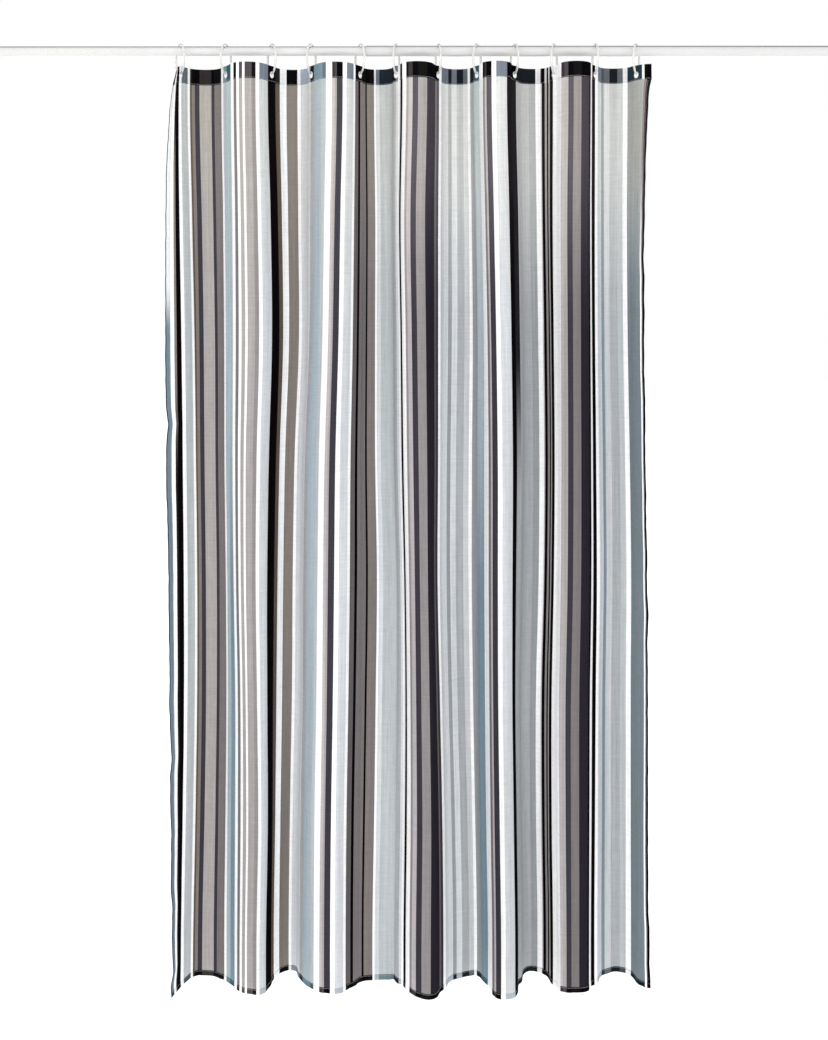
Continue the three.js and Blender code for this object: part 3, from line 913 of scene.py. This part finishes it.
def painted_metal(name, low, high):
    m, nt, p = material(name)
    pos = node(nt, "ShaderNodeTexCoord").outputs["Object"]
    peel = noise(nt, pos, 650.0, 2.0)
    draw = noise(nt, stretched(nt, pos, 6, 420, 420), 1.0, 3.0)
    cloud = noise(nt, stretched(nt, pos, 9, 9, 9), 1.0, 3.0)
    rub = noise(nt, stretched(nt, pos, 45, 260, 260), 1.0, 4.0, 0.65)
    scuff = remap(nt, rub, 0.60, 0.72, 0.0, 1.0)
    base = mix_colour(nt, "MIX", remap(nt, cloud, 0.3, 0.7, 0, 1), (low, low, low * 0.99, 1), (high, high, high * 0.99, 1))
    base = mix_colour(nt, "MIX", mathn(nt, "MULTIPLY", scuff, 0.25), base, (0.52, 0.525, 0.53, 1))
    nt.links.new(base, p.inputs["Base Color"])
    rough = mathn(nt, "ADD", remap(nt, draw, 0.3, 0.7, 0.24, 0.29), mathn(nt, "MULTIPLY", scuff, 0.12))
    nt.links.new(rough, p.inputs["Roughness"])
    # only the upper side of the tube is metallic: it mirrors the dark band behind the rail as a dark line along its
    # top, while the lower side stays matt. This is a painted reflection, set by which way the surface faces
    face = nt.nodes.new("ShaderNodeSeparateXYZ")
    nt.links.new(node(nt, "ShaderNodeTexCoord").outputs["Normal"], face.inputs[0])
    nt.links.new(remap(nt, face.outputs["Z"], 0.42, 0.70, 0.0, 0.97), p.inputs["Metallic"])
    p.inputs["Coat Weight"].default_value = 0.1
    p.inputs["Coat Roughness"].default_value = 0.12
    bump = node(nt, "ShaderNodeBump", Strength=0.25, Distance=0.00006)
    height = mathn(nt, "ADD", mathn(nt, "MULTIPLY", peel, 0.6), mathn(nt, "MULTIPLY", draw, 0.5))
    nt.links.new(height, bump.inputs["Height"])
    nt.links.new(bump.outputs[0], p.inputs["Normal"])
    return m


def moulded(name, low, high, rough_lo, rough_hi, transmission=0.0, subsurface=0.0, grain=1500.0, bump_mm=0.03):
    m, nt, p = material(name)
    pos = node(nt, "ShaderNodeTexCoord").outputs["Object"]
    flow = noise(nt, pos, 90.0, 3.0)
    fine = noise(nt, pos, grain, 3.0)
    base = mix_colour(nt, "MIX", remap(nt, flow, 0.3, 0.7, 0, 1), low, high)
    nt.links.new(base, p.inputs["Base Color"])
    nt.links.new(remap(nt, fine, 0.25, 0.75, rough_lo, rough_hi), p.inputs["Roughness"])
    p.inputs["Transmission Weight"].default_value = transmission
    p.inputs["IOR"].default_value = 1.49
    if subsurface:
        p.inputs["Subsurface Weight"].default_value = subsurface
        p.inputs["Subsurface Radius"].default_value = (0.003, 0.003, 0.003)
        p.inputs["Subsurface Scale"].default_value = 0.5
    bump = node(nt, "ShaderNodeBump", Strength=0.3, Distance=bump_mm * MM)
    height = mathn(nt, "ADD", mathn(nt, "MULTIPLY", fine, 0.5), mathn(nt, "MULTIPLY", flow, 0.5))
    nt.links.new(height, bump.inputs["Height"])
    nt.links.new(bump.outputs[0], p.inputs["Normal"])
    return m


thread_mat = thread_material()
tube_mat = painted_metal("white_enamelled_tube", 0.565, 0.60)
inner_tube_mat = painted_metal("white_enamelled_inner_tube", 0.60, 0.635)
ring_mat = moulded("clear_white_plastic", (0.80, 0.80, 0.77, 1), (0.86, 0.86, 0.83, 1), 0.14, 0.26, transmission=0.35)
eyelet_mat = moulded("white_eyelet_plastic", (0.78, 0.79, 0.78, 1), (0.86, 0.865, 0.86, 1), 0.22, 0.36)
foot_mat = moulded("pale_rubber", (0.55, 0.56, 0.56, 1), (0.63, 0.64, 0.64, 1), 0.55, 0.72, grain=900.0, bump_mm=0.06)

for obj, mat in (
    (cloth, cloth_mat), (left_band, side_mat), (right_band, side_mat), (top_band, hem_mat), (bottom_band, hem_mat),
    (top_thread, thread_mat), (bottom_thread, thread_mat), (left_thread, thread_mat), (right_thread, thread_mat),
    (outer, tube_mat), (inner, inner_tube_mat), (foot_l, foot_mat), (foot_r, foot_mat),
):
    obj.data.materials.append(mat)
for obj in rings:
    obj.data.materials.append(ring_mat)
for obj in eyelets:
    obj.data.materials.append(eyelet_mat)

# ------------------------------------------------------------------ what each piece rides on
for obj in (cloth, top_band, bottom_band, left_band, right_band, top_thread, bottom_thread, left_thread, right_thread):
    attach(obj, "curtain")
    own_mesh(obj)
for obj, nodes, slot in (
    (cloth, ["curtain_panel"], "striped_cloth"), (top_band, ["top_hem"], "hem_cloth"),
    (bottom_band, ["bottom_hem"], "hem_cloth"), (left_band, ["side_hem_left"], "striped_cloth"),
    (right_band, ["side_hem_right"], "striped_cloth"), (top_thread, [], "hem_cloth"), (bottom_thread, [], "hem_cloth"),
    (left_thread, [], "striped_cloth"), (right_thread, [], "striped_cloth"),
):
    if nodes:
        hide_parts(*nodes)
for k in range(12):
    body = "curtain" if k == 11 else f"ring_{k + 1}_body"
    for obj, nodes, slot in ((rings[k], f"ring_{k + 1}", "ring_plastic"), (eyelets[k], f"eyelet_{k + 1}", "eyelet_plastic")):
        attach(obj, body)
        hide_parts(nodes)
for obj, body, nodes, slot in (
    (outer, "rail", "rail_outer_tube", "rail_paint"), (foot_r, "rail", "rail_foot_right", "foot_rubber"),
    (inner, "inner_tube", "rail_inner_tube", "rail_paint"), (foot_l, "inner_tube", "rail_foot_left", "foot_rubber"),
):
    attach(obj, body)
    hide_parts(nodes)

# ------------------------------------------------------------------ floor, light and sky
floor_mesh = bpy.data.meshes.new("floor")
s = 30.0
floor_mesh.from_pydata([(-s, -s, 0), (s, -s, 0), (s, s, 0), (-s, s, 0)], [], [(0, 1, 2, 3)])
floor = bpy.data.objects.new("floor", floor_mesh)
floor.location = (0, 0, -2.2)
scene.collection.objects.link(floor)
m, nt, p = material("pale_floor")
p.inputs["Base Color"].default_value = (0.93, 0.93, 0.93, 1)
p.inputs["Roughness"].default_value = 0.9
p.inputs["Specular IOR Level"].default_value = 0.1
p.inputs["Emission Color"].default_value = (1, 1, 1, 1)
p.inputs["Emission Strength"].default_value = 0.3
floor_mesh.materials.append(m)

world = bpy.data.worlds.new("studio")
scene.world = world
world.use_nodes = True
nt = world.node_tree
nt.nodes.clear()
out = nt.nodes.new("ShaderNodeOutputWorld")
seen = node(nt, "ShaderNodeBackground")
seen.inputs["Color"].default_value = (1, 1, 1, 1)
seen.inputs["Strength"].default_value = 1.0
lit = node(nt, "ShaderNodeBackground")
direction = node(nt, "ShaderNodeTexCoord").outputs["Generated"]
sep = nt.nodes.new("ShaderNodeSeparateXYZ")
nt.links.new(direction, sep.inputs[0])
# a dark strip of ceiling behind the rail
band = mathn(nt, "MULTIPLY", remap(nt, sep.outputs["Z"], 0.10, 0.18, 0, 1), remap(nt, sep.outputs["Z"], 0.84, 0.97, 1, 0))
behind = remap(nt, sep.outputs["Y"], 0.0, 0.20, 0, 1)
path = node(nt, "ShaderNodeLightPath")
dark = mathn(nt, "MULTIPLY", mathn(nt, "MULTIPLY", band, behind), path.outputs["Is Glossy Ray"])
level = remap(nt, dark, 0, 1, 1.04, 0.0)
nt.links.new(level, lit.inputs["Strength"])
lit.inputs["Color"].default_value = (1.0, 1.0, 1.0, 1)
mix = nt.nodes.new("ShaderNodeMixShader")
nt.links.new(path.outputs["Is Camera Ray"], mix.inputs[0])
nt.links.new(lit.outputs[0], mix.inputs[1])
nt.links.new(seen.outputs[0], mix.inputs[2])
nt.links.new(mix.outputs[0], out.inputs["Surface"])


def area_light(name, place, target, size, power, colour=(1, 1, 1)):
    data = bpy.data.lights.new(name, "AREA")
    data.shape = "RECTANGLE"
    data.size, data.size_y = size
    data.energy = power
    data.color = colour
    obj = bpy.data.objects.new(name, data)
    obj.location = place
    obj.rotation_euler = (Vector(target) - Vector(place)).to_track_quat("-Z", "Y").to_euler()
    obj.visible_camera = False
    scene.collection.objects.link(obj)
    return obj


area_light("key", (-3.7, -2.7, -0.3), (0, 0, -1.0), (2.4, 2.8), 32)
area_light("fill", (3.2, -3.2, -0.6), (0, 0, -1.0), (2.2, 2.6), 22)
area_light("top", (0.0, -1.7, 0.35), (0, 0, -0.35), (2.4, 0.4), 6)
area_light("back", (1.2, 4.0, -0.4), (0, 0, -1.1), (3.0, 2.6), 40)

scene.view_settings.view_transform = "Standard"
scene.view_settings.look = "None"
scene.view_settings.exposure = 0.0
scene.view_settings.gamma = 1.0
